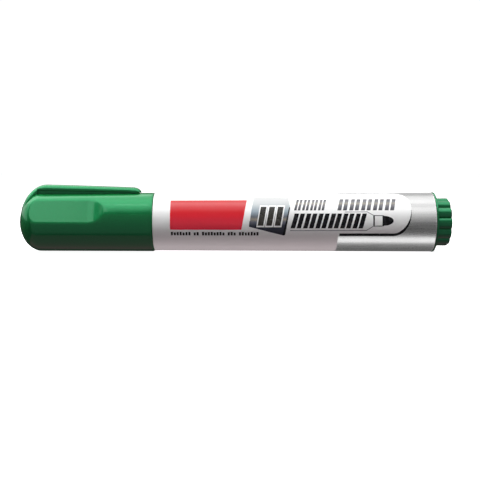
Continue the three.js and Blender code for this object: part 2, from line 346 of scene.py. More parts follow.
def clear(name, colour, rough):
    """Thin clear plastic with faint lengthwise creases."""
    nodes = Nodes(name)
    creases = nodes.noise(2.5, 3, stretch=(3, 1, 1))
    nodes.colour(nodes.ramp(creases, [(0.3, mixed(colour, (0, 0, 0), 0.15)), (0.7, colour)]))
    nodes.roughness(nodes.between(creases, rough * 0.7, rough * 1.5))
    nodes.bump(creases, 0.02)
    nodes.set(see_through=0.75, ior=1.45)
    return nodes.material


wrap_clear = clear("wrap_clear", (0.80, 0.90, 0.86), 0.15)
tube_clear = clear("tube_clear", (0.86, 0.92, 0.90), 0.25)


# Cap: domed shell, two finger flats that run out in a hollow curve, and a pocket clip

DOME = 6.7  # station where the dome ends
TIP_RADIUS = CAP_RADIUS - 0.12
FLAT_DISTANCE = 8.29  # from the axis
FLAT_END = 22.3  # station where the run-out starts
RUNOUT = 15.0  # radius of its hollow curve
FLAT_ANGLES = (27.0, 153.0)
FLAT_EDGE = 0.22  # how far the flats' edges are eased
DOME_EASE = 1.1  # and how much further where they meet the dome
CAP_ROUND = 320


def smooth_least(a, b, ease):
    """The lesser of two values, blended where they are closer than ease."""
    share = max(ease - abs(a - b), 0.0) / ease
    return min(a, b) - share * share * ease / 4


def cap_outside(across, along, angle):
    """The cap's outer radius: the round body, cut back by the finger flats."""
    if across < FLAT_DISTANCE * 0.55 and along > 1:
        return across
    past = max(0.0, along - FLAT_END)
    if past >= RUNOUT:
        return across
    distance = FLAT_DISTANCE + RUNOUT - math.sqrt(RUNOUT * RUNOUT - past * past)
    ease = FLAT_EDGE + DOME_EASE * max(0.0, 1 - along / DOME) ** 1.5
    for middle in FLAT_ANGLES:
        turn = math.cos(math.radians(angle - middle))
        if turn > 0.5:
            across = smooth_least(across, distance / turn, ease)
    return across


def make_cap():
    """The shell outside and in. A low ring inside its mouth snaps on, and one further in holds the seal."""
    rim_round = 0.45
    rim = CAP_END - rim_round
    bore, mouth, ring = 7.2, 8.5, 6.95
    profile = arc(0, DOME, TIP_RADIUS, DOME, -90, 0, 36)[:-1]
    for along in run(DOME, FLAT_END, 0.5) + run(FLAT_END, 28.0, 0.25) + run(28.0, rim, 1.0):
        share = (along - DOME) / (rim - DOME)
        profile.append((TIP_RADIUS + (CAP_RADIUS - TIP_RADIUS) * share, along))
    profile += arc(CAP_RADIUS - rim_round, rim, rim_round, rim_round, 0, 90, 6)
    inside = [
        (mouth + 0.3, CAP_END), (mouth, CAP_END - 0.5, 0.2), (mouth, 40.9, 0.2), (mouth - 0.08, 40.4, 0.2),
        (mouth - 0.08, 39.9, 0.2), (mouth, 39.4, 0.2), (mouth, 28.6, 0.4), (bore, 27.2, 0.4),
        (bore, 8.25, 0.1), (ring, 8.0, 0.1), (ring, 7.5, 0.1), (bore, 7.25, 0.1), (bore, 6.1),
    ]
    profile += softened(inside)[1:]
    profile += arc(0, 6.0, bore, 4.5, 0, -90, 10)[1:]
    cap = turned("cap_body", profile, CAP_ROUND, cap_outside, sharp=60)
    combine(cap, "UNION", make_rib(), make_clip())
    cap.data.set_sharp_from_angle(angle=math.radians(32))
    place(cap, "cap", "cap_plastic", cap_green, ["cap_shell"])


def combine(obj, operation, *tools):
    """Joins the tools to the object, or cuts them from it, and removes them."""
    for tool in tools:
        modifier = obj.modifiers.new(tool.name, "BOOLEAN")
        modifier.operation = operation
        modifier.solver = "EXACT"
        modifier.object = tool
    graph = bpy.context.evaluated_depsgraph_get()
    mesh = bpy.data.meshes.new_from_object(obj.evaluated_get(graph))
    obj.modifiers.clear()
    obj.data = mesh
    for tool in tools:
        bpy.data.objects.remove(tool)


CLIP_HALF_WIDTH = 2.2
CLIP_SUNK = 0.7  # how far its root reaches into the cap
CLIP_ROOT = 5.8  # station where the gap under the clip starts
GAP_ROUND = 0.45  # rounding of the gap's closed end
CLIP_CREST = 8.6  # station where the clip is highest
SHOULDER = 7.5  # half-width of the egg-shaped shoulder that carries the dome up into the clip
SHOULDER_TAPER = 1.5  # station where it starts to narrow to the clip's width
CLIP_CROWN = 1.4  # how far the clip's rounded back falls from its middle to its sides
UNDERSIDE_START = 10.2  # height of the underside where the gap starts
UNDERSIDE_END = 9.62  # and where it starts down to the foot
FOOT = 9.4  # height of the foot, under the clip's tip
FOOT_START = 35.4  # station where the underside starts down to it
TIP_START = 35.9
CLIP_TIP = 38.45
TIP_HEIGHT = 11.08
RIB_HALF_WIDTH = 1.2


def clip_top(along):
    """Height of the clip's back: a quarter ellipse over the dome, a long slope and a rounded tip."""
    if along < CLIP_CREST:
        return CLIP_HEIGHT * math.sqrt(1 - ((CLIP_CREST - along) / CLIP_CREST) ** 2)
    if along < TIP_START:
        share = (along - CLIP_CREST) / (TIP_START - CLIP_CREST)
        return CLIP_HEIGHT + (TIP_HEIGHT - CLIP_HEIGHT) * share + 0.05 * math.sin(math.pi * share)
    share = (along - TIP_START) / (CLIP_TIP - TIP_START)
    return FOOT + (TIP_HEIGHT - FOOT) * math.sqrt(max(0.0, 1 - share * share))


def clip_under(along, across):
    """Height of the clip's underside. Up to its root it lies inside the cap's wall."""
    if along < CLIP_ROOT:
        outside = TIP_RADIUS * math.sqrt(1 - ((DOME - along) / DOME) ** 2)
        return math.sqrt(max(0.01, (outside - CLIP_SUNK) ** 2 - across ** 2))
    corner = CLIP_ROOT + GAP_ROUND
    if along <= corner:
        rise = math.sqrt(max(0.0, GAP_ROUND ** 2 - (corner - along) ** 2))
        return UNDERSIDE_START - GAP_ROUND + rise
    places = [(corner, UNDERSIDE_START), (FOOT_START, UNDERSIDE_END), (TIP_START, FOOT), (CLIP_TIP, FOOT)]
    for (start, high), (end, low) in zip(places, places[1:]):
        if along <= end:
            return high + (low - high) * (along - start) / (end - start)
    return FOOT


def clip_half_width(along):
    """Half the width of the shoulder and then of the clip, whose tip is rounded."""
    if along < CLIP_ROOT:
        share = max(0.0, (along - SHOULDER_TAPER) / (CLIP_ROOT - SHOULDER_TAPER))
        blend = share * share * (3 - 2 * share)
        return SHOULDER * clip_top(along) / CLIP_HEIGHT * (1 - blend) + CLIP_HALF_WIDTH * blend
    round_start = TIP_START + 0.6
    tip = max(0.0, (along - round_start) / (CLIP_TIP - round_start))
    return CLIP_HALF_WIDTH * math.sqrt(1 - 0.55 * tip ** 3)


def clip_section(along, steps=16):
    """Points (across, height) round the clip at a station, with a crowned back."""
    top, half = clip_top(along), clip_half_width(along)
    low = clip_under(along, half)
    fall = min(CLIP_CROWN, 0.8 * (top - low))
    if along < CLIP_ROOT:
        share = (along / CLIP_ROOT) ** 4
        fall = fall * share + 0.98 * (top - low) * (1 - share)
    edge, inset = half - 0.07, half - 0.25
    lifts = [(-edge, 0.06), (-inset, 0.0), (0.0, 0.0), (inset, 0.0), (edge, 0.06)]
    places = [(y, clip_under(along, y) + lift) for y, lift in lifts]
    for k in range(steps + 1):
        turn = math.pi * k / steps
        places.append((half * math.cos(turn), top - fall * (1 - math.sin(turn))))
    return places


def profile_verts(bm, places):
    """Vertices at (station, across, height above the axis)."""
    return [bm.verts.new((START_X + a * MM, y * MM, AXIS_Z + h * MM)) for a, y, h in places]


def make_clip():
    """The clip and its shoulder, lofted through its sections."""
    tip = CLIP_TIP - TIP_START
    corner = CLIP_ROOT + GAP_ROUND
    stations = [CLIP_CREST * (1 - math.cos(math.radians(a))) for a in range(9, 70, 2)]
    stations += [CLIP_ROOT - 0.01] + run(CLIP_ROOT, corner, 0.06)
    stations += run(corner, CLIP_CREST, 0.2) + run(CLIP_CREST, TIP_START, 1.0)
    stations += [TIP_START + tip * math.sin(math.radians(a)) for a in range(0, 89, 8)]
    bm = bmesh.new()
    sections = []
    for along in sorted(stations):
        sections.append(profile_verts(bm, [(along, y, h) for y, h in clip_section(along)]))
    for one, other in zip(sections, sections[1:]):
        for i in range(len(one)):
            j = (i + 1) % len(one)
            bm.faces.new((one[i], one[j], other[j], other[i]))
    bm.faces.new(sections[0])
    bm.faces.new(sections[-1])
    return finish_mesh(bm, "clip_tool")


def make_rib():
    """The rib that cloth is gripped against, just under the clip."""
    base, start, end = 8.9, CLIP_ROOT - 0.4, TIP_START + 1.9
    corners = [
        (start, base), (end, base), (end, FOOT), (TIP_START, FOOT),
        (FOOT_START - 0.1, UNDERSIDE_END - 0.02), (start, UNDERSIDE_START - 0.03),
    ]
    bm = bmesh.new()
    sides = []
    for y in (-RIB_HALF_WIDTH, RIB_HALF_WIDTH):
        sides.append(profile_verts(bm, [(a, y, h) for a, h in corners]))
        bm.faces.new(sides[-1])
    for i in range(len(corners)):
        j = (i + 1) % len(corners)
        bm.faces.new((sides[0][i], sides[0][j], sides[1][j], sides[1][i]))
    bmesh.ops.bevel(bm, geom=bm.edges[:], offset=0.1 * MM, segments=2, profile=0.5, affect="EDGES")
    return finish_mesh(bm, "rib_tool")


make_cap()


# Inner seal, nib holder, nib and the ink's pieces


def make_seal():
    """A soft cup, with a wide foot that the cap's ring holds and a lip that closes on the holder's neck."""
    back = station(seal_low[0])
    lip = station(seal_high[0])
    wide = radius_of(seal_low, seal_high) - SKIN
    inside, outside, floor = 3.7, 4.7, back + 1.4
    profile = [
        (0, back), (wide, back, 0.2), (wide, back + 1, 0.2), (outside + 0.3, back + 1, 0.3),
        (outside, back + 1.6, 0.3), (outside, lip - 6.6, 0.2), (outside + 0.25, lip - 6.2, 0.2),
        (outside + 0.25, lip - 0.9, 0.2), (outside, lip - 0.2, 0.2), (outside - 0.3, lip, 0.2),
        (inside + 0.35, lip, 0.1), (inside, lip - 0.5, 0.2), (inside, floor + 0.6, 0.4),
        (inside - 0.6, floor, 0.3), (0, floor),
    ]
    seal = turned("seal_cup", softened(profile))
    place(seal, "cap", "seal_plastic", seal_natural, ["inner_seal"])


def make_holder():
    """The front piece: a neck with a sealing bead, a collar, and a spigot inside the barrel."""
    face = station(holder_low[0])
    end = station(holder_high[0])
    collar = radius_of(holder_low, holder_high) - SKIN
    neck, bore, spigot = 3.6, 2.5, 4.3
    step = BARREL_START - 0.1
    profile = [
        (bore, face, 0.15), (neck - 0.3, face, 0.3), (neck, face + 0.5, 0.3), (neck, face + 2.2, 0.1),
        (neck + 0.05, face + 2.5, 0.1), (neck, face + 2.8, 0.1), (neck, face + 5.2, 0.8),
        (collar, face + 8.0, 0.6), (collar, step, 0.15), (spigot, step), (spigot, end - 0.6, 0.2),
        (spigot - 0.5, end, 0.2), (bore, end),
    ]
    holder = turned("front_holder", softened(profile, closed=True), closed=True)
    place(holder, "pen", "holder_plastic", holder_white, ["nib_holder"])


def make_nib():
    """The bullet nib, whose nose is an ellipse and whose side is slightly uneven."""
    tip = station(nib_low[0])
    tail = station(nib_high[0])
    wide = radius_of(nib_low, nib_high)
    nose = 4.2
    profile = arc(0, tip + nose, wide, nose, -90, 0, 24)
    profile += [(wide, a) for a in run(tip + nose + 0.5, tail - 0.3, 0.5)] + [(wide - 0.2, tail), (0, tail)]

    def worn(across, along, angle):
        ripple = math.sin(math.radians(angle * 23) + along * 3.1) * 0.012
        ripple += math.sin(math.radians(angle * 11) - along * 5.3) * 0.01
        return across + (ripple if across > 0.5 else 0.0) - 0.022

    place(turned("bullet_nib", profile, 96, worn), "pen", "nib_fibre", nib_fibre, ["nib"])


make_seal()
make_holder()
make_nib()


TUBE_LIFT = 4.8  # height of the breather tube's axis above the marker's
TUBE_BORE = 0.45
TUBE_RADIUS = 0.75


def rod(name, radius, start, end, around, off_axis=0.0):
    """A plain tool to cut a round hole with."""
    return turned(name, [(0, start), (radius, start), (radius, end), (0, end)], around, off_axis=off_axis)


def pipe(name, inner, outer, low, high, around=ROUND, off_axis=0.0):
    """A tube as long as the frame's corners low and high."""
    start, end = station(low[0]), station(high[0])
    edges = [(inner, start), (outer, start), (outer, end), (inner, end)]
    return turned(name, edges, around, off_axis=off_axis, closed=True)


def make_filler():
    """The ink's fibre rod with its film, and the breather tube in a hole along it."""
    start = station(filler_low[0])
    end = station(filler_high[0])
    wide = radius_of(filler_low, filler_high)
    profile = [(0, start), (wide, start, 0.3), (wide, end, 0.4), (0, end)]

    def strands(across, along, angle):
        return across - 0.05 - 0.05 * abs(math.sin(math.radians(angle * 30)))

    filler = turned("fibre_filler", softened(profile), 240, strands)
    hole = rod("filler_hole", TUBE_RADIUS + 0.1, start - 1, end + 1, 32, TUBE_LIFT)
    socket = rod("filler_socket", 2.5, start - 1, station(nib_high[0]) + 0.1, 64)
    combine(filler, "DIFFERENCE", hole, socket)
    place(filler, "pen", "filler_fibre", filler_fibre, ["ink_filler"])
    wrap_radius = radius_of(wrap_low, wrap_high) - SKIN
    wrap = pipe("filler_film", wrap_radius - 0.1, wrap_radius, wrap_low, wrap_high)
    place(wrap, "pen", "wrap_film", wrap_clear, ["filler_wrap"])
    tube = pipe("vent_tube", TUBE_BORE, TUBE_RADIUS, breather_low, breather_high, 32, TUBE_LIFT)
    place(tube, "pen", "tube_plastic", tube_clear, ["breather_tube"])


make_filler()


# Barrel and its film


def make_barrel():
    """The barrel: the cap's seat with its bead, and a sleeve in the front end that grips the holder.

    The solid's six inner ribs, which lie between the filler and the bore, are left out.
    """
    seat, bead = 8.36, 8.42
    bore, front_bore = 8.05, 7.3
    sleeve, sleeve_bore = 5.6, 4.4
    wide = BARREL_RADIUS
    shoulder = LABEL_START - 0.05
    profile = [(sleeve_bore, BARREL_START + 0.2), (sleeve_bore + 0.15, BARREL_START), (5.5, BARREL_START)]
    profile += arc(sleeve, 33.4, seat - sleeve, 3.4, -75, 0, 10)
    profile += softened([
        (seat, 33.5), (seat, 39.3, 0.2), (bead, 39.8, 0.2), (bead, 40.6, 0.2), (seat, 41.1, 0.2),
        (seat, shoulder), (wide - TAPER, shoulder, 0.15), (wide, BARREL_END, 0.15),
        (bore + 0.25, BARREL_END, 0.1), (bore, BARREL_END - 0.4, 0.1), (bore, 46, 0.5),
        (front_bore, 44.8, 0.5), (front_bore, 33.7, 0.4), (6.2, 32.2, 0.3), (sleeve, 32.2, 0.1),
        (sleeve, 37, 0.1), (sleeve_bore, 37), (sleeve_bore, BARREL_START + 0.3),
    ])[1:]
    barrel = turned("barrel_moulding", profile, closed=True)
    place(barrel, "pen", "barrel_plastic", barrel_white, ["barrel_tube"])


make_barrel()


def film_radius(along):
    """The film's outer radius, which follows the barrel's taper."""
    return LABEL_RADIUS - TAPER * (LABEL_END - along) / (LABEL_END - LABEL_START)


film_profile = [
    (film_radius(LABEL_START) - 0.06, LABEL_START), (film_radius(LABEL_START), LABEL_START, 0.02),
    (LABEL_RADIUS, LABEL_END, 0.02), (LABEL_RADIUS - 0.06, LABEL_END),
]
film = turned("label_film", softened(film_profile), closed=True)
place(film, "pen", "label_film", film_white, ["label_sleeve"])


# Print on the film. A mark's outline is drawn flat, as (x, a): x is millimetres from the marker's middle
# towards the plug, and a is the angle above the line that the print is centred on.

PRINT_ANGLE = 28.6
ARC = math.radians(1) * LABEL_RADIUS  # millimetres round the film in one degree
STRIP = 0.4  # width of the strips that a mark is cut into to bend round the film
FILM_END = LABEL_END - CENTRE - 0.1


def bent(bm, name, lift, thickness, angle):
    """Bends a flat sheet, in millimetres, round the film and gives it a thickness."""
    bmesh.ops.triangulate(bm, faces=bm.faces[:])
    heights = [v.co.y for v in bm.verts]
    for k in range(math.ceil(min(heights) / STRIP), math.floor(max(heights) / STRIP) + 1):
        everything = bm.verts[:] + bm.edges[:] + bm.faces[:]
        cut = (0, k * STRIP, 0)
        bmesh.ops.bisect_plane(bm, geom=everything, dist=1e-5, plane_co=cut, plane_no=(0, 1, 0))
    bmesh.ops.remove_doubles(bm, verts=bm.verts, dist=1e-4)
    for vert in bm.verts:
        turn = vert.co.y / ARC + angle
        along = CENTRE + vert.co.x
        vert.co = point(film_radius(along) + lift, along, turn)
    bmesh.ops.remove_doubles(bm, verts=bm.verts, dist=1e-6)
    raised = bmesh.ops.extrude_face_region(bm, geom=bm.faces[:], use_keep_orig=True)
    middle = Vector((0, 0, AXIS_Z))
    for vert in (v for v in raised["geom"] if isinstance(v, bmesh.types.BMVert)):
        away = vert.co - middle
        away.x = 0
        vert.co += away.normalized() * thickness * MM
    return finish_mesh(bm, name)


def flat_faces(outlines):
    """A flat sheet with one face for each outline."""
    bm = bmesh.new()
    for outline in outlines:
        bm.faces.new([bm.verts.new((x, a * ARC, 0)) for x, a in outline])
    return bm


def mark(name, outlines, material, slot="label_ink", lift=0.0, thickness=0.012, angle=PRINT_ANGLE):
    """One printed mark, made of one or more outlines."""
    place(bent(flat_faces(outlines), name, lift, thickness, angle), "pen", slot, material)


def stroke(path, widths):
    """The outline of a line drawn along a path of (x, a), with a width in millimetres at each point."""
    flat = [Vector((x, a * ARC)) for x, a in path]
    left, right = [], []
    for i, here in enumerate(flat):
        before = (here - flat[i - 1]).normalized() if i else None
        after = (flat[i + 1] - here).normalized() if i + 1 < len(flat) else None
        way = ((before or after) + (after or before)).normalized()
        side = Vector((-way.y, way.x))
        lean = side.dot(Vector((-(after or before).y, (after or before).x)))
        reach = widths[i] / 2 / max(lean, 0.5)
        left.append(here + side * reach)
        right.append(here - side * reach)
    return [(v.x, v.y / ARC) for v in left + right[::-1]]


def line(path, width):
    """The outline of a line of even width."""
    return stroke(path, [width] * len(path))


def slanted(x, bottom, top, width, lean=1.3):
    """A block between two angles whose top leans towards the plug."""
    return [(x, bottom), (x + width, bottom), (x + width + lean, top), (x + lean, top)]


def printed(name, stops, rough=0.2, span=None, metal=0.0):
    """Ink on film, with a fine mottle. stops run up the print from span's low angle to its high one."""
    nodes = Nodes(name)
    mottle = nodes.noise(0.8, 3)
    if span:
        split = nodes.add("ShaderNodeSeparateXYZ")
        nodes.link(nodes.place, split.inputs[0])
        height = nodes.math("SUBTRACT", split.outputs["Z"], AXIS_Z)
        front = nodes.math("MULTIPLY", split.outputs["Y"], -1.0)
        turn = nodes.math("ARCTAN2", height, front)
        where = nodes.between(turn, 0.0, 1.0, *(math.radians(PRINT_ANGLE + a) for a in span))
        where = nodes.math("ADD", where, nodes.between(mottle, -0.01, 0.01))
    else:
        where = mottle
    nodes.colour(nodes.ramp(where, stops))
    wear = nodes.noise(5.0, 4)
    nodes.roughness(nodes.between(wear, rough * 0.8, rough * 1.3))
    nodes.bump(mottle, 0.0006)
    nodes.set(ior=1.5, metal=metal)
    return nodes.material


def plain(colour, other):
    """Stops for an ink that varies a little between two colours."""
    return [(0.35, colour), (0.65, other)]


# The red panel's ink is painted light and shade: bright at the panel's bottom and darkening towards its
# top, with a paler pink stop near the top as a painted highlight.
red_ink_painted_light = printed("red_ink_painted_light", [
    (0.0, (0.95, 0.040, 0.085)), (0.18, (0.92, 0.050, 0.080)), (0.31, (0.80, 0.035, 0.060)),
    (0.43, (0.73, 0.025, 0.040)), (0.56, (0.63, 0.020, 0.028)), (0.72, (0.58, 0.030, 0.038)),
    (0.86, (0.56, 0.080, 0.085)), (0.96, (0.50, 0.040, 0.042)),
], 0.17, (-40, 23))
ink_black = printed("ink_black", plain((0.008, 0.008, 0.010), (0.018, 0.018, 0.020)), 0.25)
ink_grey = printed("ink_grey", [
    (0.0, (0.07, 0.07, 0.08)), (0.35, (0.14, 0.14, 0.16)), (0.55, (0.28, 0.26, 0.22)),
    (0.7, (0.17, 0.17, 0.18)), (1.0, (0.07, 0.07, 0.08)),
], 0.25, (-2, 26))
ink_badge = printed("ink_badge", [
    (0.0, (0.035, 0.035, 0.05)), (0.22, (0.05, 0.055, 0.075)), (0.3, (0.15, 0.16, 0.20)),
    (0.36, (0.34, 0.30, 0.25)), (0.42, (0.15, 0.165, 0.195)), (0.55, (0.33, 0.40, 0.46)),
    (0.75, (0.50, 0.52, 0.53)), (1.0, (0.50, 0.50, 0.50)),
], 0.2, (-50, 33))
ink_bars = printed("ink_bars", plain((0.035, 0.033, 0.03), (0.06, 0.055, 0.05)), 0.25)
ink_white = printed("ink_white", plain((0.84, 0.84, 0.84), (0.90, 0.90, 0.90)), 0.2)
ink_line = printed("ink_line", plain((0.22, 0.22, 0.24), (0.30, 0.30, 0.32)), 0.25)


def foil_silver():
    """Silver print: bright metal flake with faint roller streaks along the marker."""
    nodes = Nodes("foil_silver")
    streaks = nodes.noise(0.25, 3, stretch=(60, 1, 1))
    flake = nodes.noise(0.06, 1)
    clouds = nodes.noise(9.0, 3)
    both = nodes.math("MULTIPLY_ADD", streaks, 0.6, nodes.math("MULTIPLY", clouds, 0.4))
    nodes.colour(nodes.ramp(both, [(0.3, (0.62, 0.62, 0.62)), (0.7, (0.74, 0.74, 0.735))]))
    rolled = nodes.between(streaks, 0.25, 0.33)
    nodes.roughness(nodes.math("ADD", rolled, nodes.between(flake, -0.02, 0.02)))
    nodes.bump(flake, 0.0012)
    nodes.set(metal=1.0)
    return nodes.material


foil = foil_silver()

# The white field's rounded nose, with the silver print round it

FIELD_HALF = 50.0  # the white field's half-height, in degrees
FIELD_BEND = 49.2  # where its nose starts
FIELD_NOSE = 54.9
FOIL_START = 32.3


def nose(start, end, steps=24, grow=0.0):
    """Points round the nose from one angle to another, measured round the nose's own centre."""
    points = []
    for k in range(steps + 1):
        turn = math.radians(start + (end - start) * k / steps)
        x = FIELD_BEND + (FIELD_NOSE - FIELD_BEND + grow) * math.cos(turn)
        points.append((x, (FIELD_HALF + grow / ARC) * math.sin(turn)))
    return points


def make_foil():
    """A band round the back of the film, and strips between the nose and the film's end."""
    start, end, last = FIELD_HALF, 360 - FIELD_HALF, FILM_END
    pieces = [[
        (FOIL_START, start), (FIELD_BEND, start), (last, start), (last, end), (FIELD_BEND, end),
        (FOIL_START, end), (FOIL_START - 0.5, 180),
    ]]
    curve = nose(90, -90, 48)
    for (x, angle), (next_x, next_angle) in zip(curve, curve[1:]):
        pieces.append([(x, angle), (last, angle), (last, next_angle), (next_x, next_angle)])
    mark("silver_print", pieces, foil, "label_foil", thickness=0.010)


make_foil()

# Red panel, whose ink carries painted shading and a painted highlight band

mark("red_panel", [[(-19.75, -40), (2.3, -40), (4.1, 23), (-19.75, 23)]], red_ink_painted_light)

# Small line under it: blocks of uneven width, in groups, that stand for small print


def small_print(name, start, end, bottom, top, groups, material, angle=PRINT_ANGLE, gap=0.28, space=0.75):
    """A row of small blocks filling start to end. Each group is how many blocks stand together."""
    count = sum(groups)
    pitch = (end - start - space * (len(groups) - 1)) / count
    blocks = []
    x = start
    number = 0
    for group in groups:
        for _ in range(group):
            high = top - (top - bottom) * (0.0, 0.18, 0.06)[number % 3]
            edge = x + pitch - gap
            blocks.append([(x, bottom), (edge, bottom), (edge, high), (x, high)])
            x += pitch
            number += 1
        x += space
    mark(name, blocks, material, angle=angle)


PRINT_START = -19.5
small_print("small_print_front", PRINT_START, 7.9, -51.8, -44.4, (7, 2, 8, 3, 7), ink_black)

BACK_ANGLE = 200.0
BACK_ROWS = ((25, (6, 4, 9, 5, 8, 3, 7)), (18, (9, 3, 7, 8, 5, 4)), (27, (5, 8, 4, 9, 6, 3, 8)))
for row, (end, groups) in enumerate(BACK_ROWS):
    name = f"small_print_back_{row + 1}"
    bottom = 12 - 14 * row
    small_print(name, PRINT_START, end, bottom, bottom + 7, groups, ink_black, BACK_ANGLE)

# Badge: a leaning panel of graded grey with three bars, and dark edges right and below

OVER = {"lift": 0.012, "thickness": 0.008}  # for ink printed over other ink
mark("badge", [[(4.66, -34), (15.5, -52), (17.4, 5.6), (17.0, 30), (6.3, 33)]], ink_badge)
mark("badge_edge_right", [stroke([(15.45, -51), (17.3, 5)], [0.75, 0.28])], ink_black, **OVER)
mark("badge_edge_left", [line([(4.75, -34), (4.95, -23)], 0.2)], ink_black, **OVER)


def bars(x, widths, gap, bottom, top, lean, split=0.0):
    """A row of leaning blocks. With split, each is parted by a narrow slit of that width."""
    outlines = []
    for width in widths:
        if split:
            half = (width - split) / 2
            outlines.append(slanted(x, bottom, top, half, lean))
            outlines.append(slanted(x + half + split, bottom, top, half, lean))
        else:
            outlines.append(slanted(x, bottom, top, width, lean))
        x += width + gap
    return outlines


borders = bars(6.9, [2.5] * 3, 0.15, -35, 9, 1.2)
mark("badge_bars_border", borders, ink_white, lift=0.012, thickness=0.006)
mark("badge_bars", bars(7.3, [1.75] * 3, 0.9, -32, 6, 1.1), ink_bars, lift=0.018, thickness=0.006)

# Two rows of leaning blocks where a name would stand

mark("upper_row_left", bars(18.6, [1.9] * 4, 0.55, -2, 24, 1.0, 0.35), ink_grey)
mark("upper_row_right", bars(32.0, [2.9] * 5, 0.75, -2, 25, 1.0, 0.5), ink_grey)
mark("lower_row", bars(17.5, [3.2] * 6, 0.62, -37, -8.5, 1.3, 0.45), ink_black)

# Pictogram: a marker's outline with its collar and nib

mark("pictogram_body", [
    line([(17.4, -41.5), (41.0, -41.0), (43.0, -33.0)], 0.24),
    line([(34.3, -5.5), (41.2, -5.2), (43.2, -12.5)], 0.24),
], ink_line)
mark("pictogram_collar", [
    line([(43.25, -33.5), (43.25, -12)], 0.42),
    line([(43.2, -12.6), (45.9, -12.6)], 0.22),
    line([(43.2, -32.6), (45.9, -32.6)], 0.22),
], ink_black)


def nib_mark():
    """The pictogram's nib: half an ellipse on a slightly wider foot."""
    foot, shoulder, tip = 45.85, 46.4, 49.3
    middle, half, foot_half = -22.5, 9.2, 10.3
    points = [(foot, middle - foot_half), (shoulder - 0.1, middle - foot_half)]
    for k in range(-8, 9):
        turn = math.radians(90 * k / 8)
        points.append((shoulder + (tip - shoulder) * math.cos(turn), middle + half * math.sin(turn)))
    return points + [(shoulder - 0.1, middle + foot_half), (foot, middle + foot_half)]


mark("pictogram_nib", [nib_mark()], ink_black)

# Borders of the white field: a thin line above, and a thick one below that thins out round the nose

ON_FILM = {"lift": 0.010, "thickness": 0.008}
upper_path = [(FOIL_START + 0.6, FIELD_HALF)] + nose(90, 52, 10)
upper_widths = [0.22] * (len(upper_path) - 3) + [0.18, 0.12, 0.05]
mark("field_border_upper", [stroke(upper_path, upper_widths)], ink_line, **ON_FILM)
lower_path = [(FOIL_START + 0.35, -FIELD_HALF)] + nose(-90, -2, 20)
lower_widths = [0.9] * 8 + [0.9 * (1 - k / 14) for k in range(len(lower_path) - 8)]
mark("field_border_lower", [stroke(lower_path, lower_widths)], ink_black, **ON_FILM)


# Rear plug: ribbed stem, thin flange and a knob with twelve lobes

LOBES = 12
KNOB_RADIUS = 7.6
KNOB_LENGTH = 4.6
LOBE_RADIUS = 2.2
GROOVE_DEPTH = 0.12
GROOVE_WIDTH = 0.2


def knob_outline(angle):
    """The knob's radius at an angle: a ring of equal arcs with a narrow groove where two meet."""
    pitch = 360 / LOBES
    centre = KNOB_RADIUS - LOBE_RADIUS
    away = abs((angle + pitch / 2) % pitch - pitch / 2)
    turn = math.radians(away)
    reach = centre * math.cos(turn) + math.sqrt(LOBE_RADIUS ** 2 - (centre * math.sin(turn)) ** 2)
    from_groove = math.radians(pitch / 2 - away) * KNOB_RADIUS
    return reach - GROOVE_DEPTH * math.exp(-((from_groove / GROOVE_WIDTH) ** 2))


def lobed(across, along, angle):
    """Gives the knob its lobes, and leaves the rest of the plug round."""
    if along < PLUG_END - KNOB_LENGTH + 0.02 or across < 6.0:
        return across
    return across + (knob_outline(angle) - KNOB_RADIUS)


def make_plug():
    """The hollow plug: a stem with two snap ribs, a thin flange, and the knob with a dimple in its end."""
    flange_start = BARREL_END + 0.1
    flange_end = PLUG_END - KNOB_LENGTH
    stem, rib, bore, inside = 7.88, 7.98, 6.6, 5.6
    edge = 0.5
    corners = [
        (0, PLUG_END - 1.6), (inside - 0.4, PLUG_END - 1.6, 0.3), (inside, PLUG_END - 2.0, 0.3),
        (inside, flange_start, 0.3), (bore, PLUG_START, 0.15), (stem - 0.4, PLUG_START, 0.15),
        (stem, PLUG_START + 0.6, 0.2),
    ]
    for low in (123.8, 127.2):
        corners += [(stem, low, 0.1), (rib, low + 0.4, 0.1), (rib, low + 0.7, 0.1), (stem, low + 1.1, 0.1)]
    corners += [
        (stem, flange_start), (PLUG_RADIUS, flange_start, 0.08), (PLUG_RADIUS, flange_end, 0.3),
        (KNOB_RADIUS + 0.01, flange_end),
    ]
    profile = softened(corners)
    profile += [(KNOB_RADIUS, flange_end + 0.03)]
    profile += [(KNOB_RADIUS, along) for along in run(flange_end + 0.3, PLUG_END - edge, 0.5)]
    profile += arc(KNOB_RADIUS - edge, PLUG_END - edge, edge, edge, 0, 90, 6)
    profile += [(6.3, PLUG_END), (5.9, PLUG_END), (0.9, PLUG_END)]
    profile += [(0.75, PLUG_END - 0.12), (0, PLUG_END - 0.12)]
    plug = turned("plug_moulding", profile, 384, lobed)
    place(plug, "plug", "plug_plastic", plug_green, ["rear_plug"])


make_plug()

# Floor, light and camera

CAMERA_RISE = 5.0  # degrees above the horizon
CAMERA_DISTANCE = 270.0
CAMERA_LENS = 63.4
AIM_X = 1.9  # where the view's centre is along the marker, from its middle
AIM_BELOW = 5.75  # and how far below the marker's axis


def backdrop_white():
    """The floor's white, most of which is its own glow."""
    material = bpy.data.materials.new("floor_white")
    material.use_nodes = True
    nodes = material.node_tree.nodes
    shader = nodes["Principled BSDF"]
    shader.inputs["Base Color"].default_value = (0.9, 0.9, 0.9, 1)
    shader.inputs["Roughness"].default_value = 0.9
    shader.inputs["Emission Color"].default_value = (1, 1, 1, 1)
    shader.inputs["Emission Strength"].default_value = 0.97
    return material


def make_floor():
    """A wide white floor that only the camera sees."""
    half = 3.0
    corners = [(-half, -half, 0), (half, -half, 0), (half, half, 0), (-half, half, 0)]
    mesh = bpy.data.meshes.new("floor")
    mesh.from_pydata(corners, [], [(0, 1, 2, 3)])
    floor = bpy.data.objects.new("floor", mesh)
    bpy.context.scene.collection.objects.link(floor)
    mesh.materials.append(backdrop_white())
    floor.visible_glossy = False
    floor.visible_diffuse = False
    floor.visible_transmission = False
    floor.visible_shadow = False


